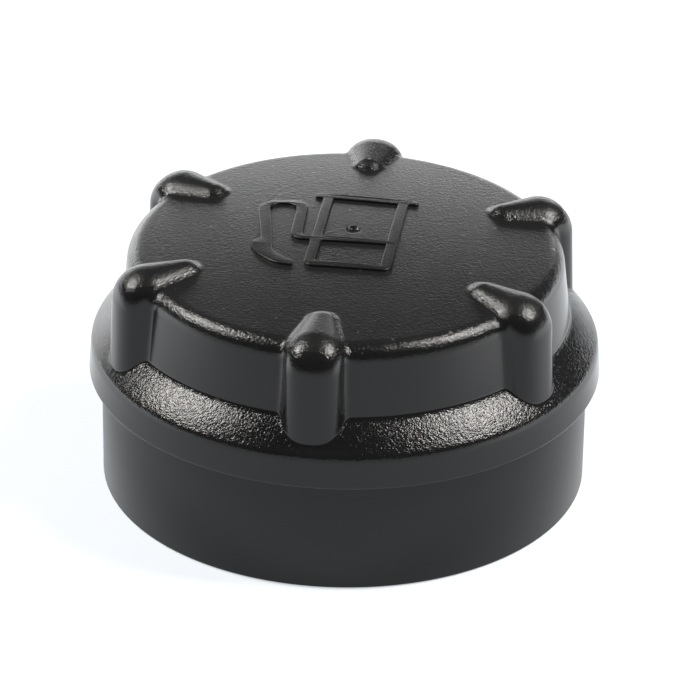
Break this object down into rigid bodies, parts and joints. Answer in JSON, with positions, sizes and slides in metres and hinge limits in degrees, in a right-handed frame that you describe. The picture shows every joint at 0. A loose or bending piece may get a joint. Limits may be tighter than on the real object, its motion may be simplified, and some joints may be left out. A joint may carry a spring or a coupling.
{
  "type": "fuel cap",
  "caption": "Round black screw-on fuel tank cap: smooth threaded skirt, sloped flange, knob with rounded finger lugs and a flat top; ratchet cover turns over a vented closure.",
  "frame": {"origin": "centre of the closure's lower rim, the plane on which the cap stands", "axes": "+Z along the cap's axis, up through the knob; -Y towards the finger lug nearest the viewer"},
  "size_m": [0.1, 0.1, 0.0513],
  "materials": {
    "cover_plastic": "satin moulded, fine grain on faces that look up",
    "closure_plastic": "smooth satin moulded",
    "gasket_rubber": "matt",
    "natural_acetal": "smooth moulded",
    "filter_foam": "open foam",
    "seal_rubber": "matt",
    "spring_steel": "drawn wire"
  },
  "bodies": {
    "closure": {"threaded_closure": "closure_plastic", "neck_gasket": "gasket_rubber", "ratchet_ring": "natural_acetal", "valve_cap": "natural_acetal", "vent_filter": "filter_foam", "pressure_spring": "spring_steel"},
    "cover": {"grip_cover": "cover_plastic"},
    "pressure_valve": {"pressure_plate": "natural_acetal", "pressure_seal": "seal_rubber", "vacuum_spring": "spring_steel"},
    "vacuum_valve": {"vacuum_poppet": "natural_acetal", "vacuum_seal": "seal_rubber", "vacuum_clip": "spring_steel"}
  },
  "joints": [
    {"name": "ratchet_turn", "type": "hinge", "parent": "closure", "child": "cover", "pos_m": [0, 0, 0.0284], "axis": [0, 0, 1], "continuous": true},
    {"name": "pressure_lift", "type": "slide", "parent": "closure", "child": "pressure_valve", "axis": [0, 0, 1], "range_m": [0, 0.002], "stiffness_N_per_m": 300, "springref_m": -0.012, "deforming": ["pressure_spring"]},
    {"name": "vacuum_drop", "type": "slide", "parent": "pressure_valve", "child": "vacuum_valve", "axis": [0, 0, -1], "range_m": [0, 0.0015], "stiffness_N_per_m": 30, "springref_m": -0.0033, "deforming": ["vacuum_spring"]}
  ]
}
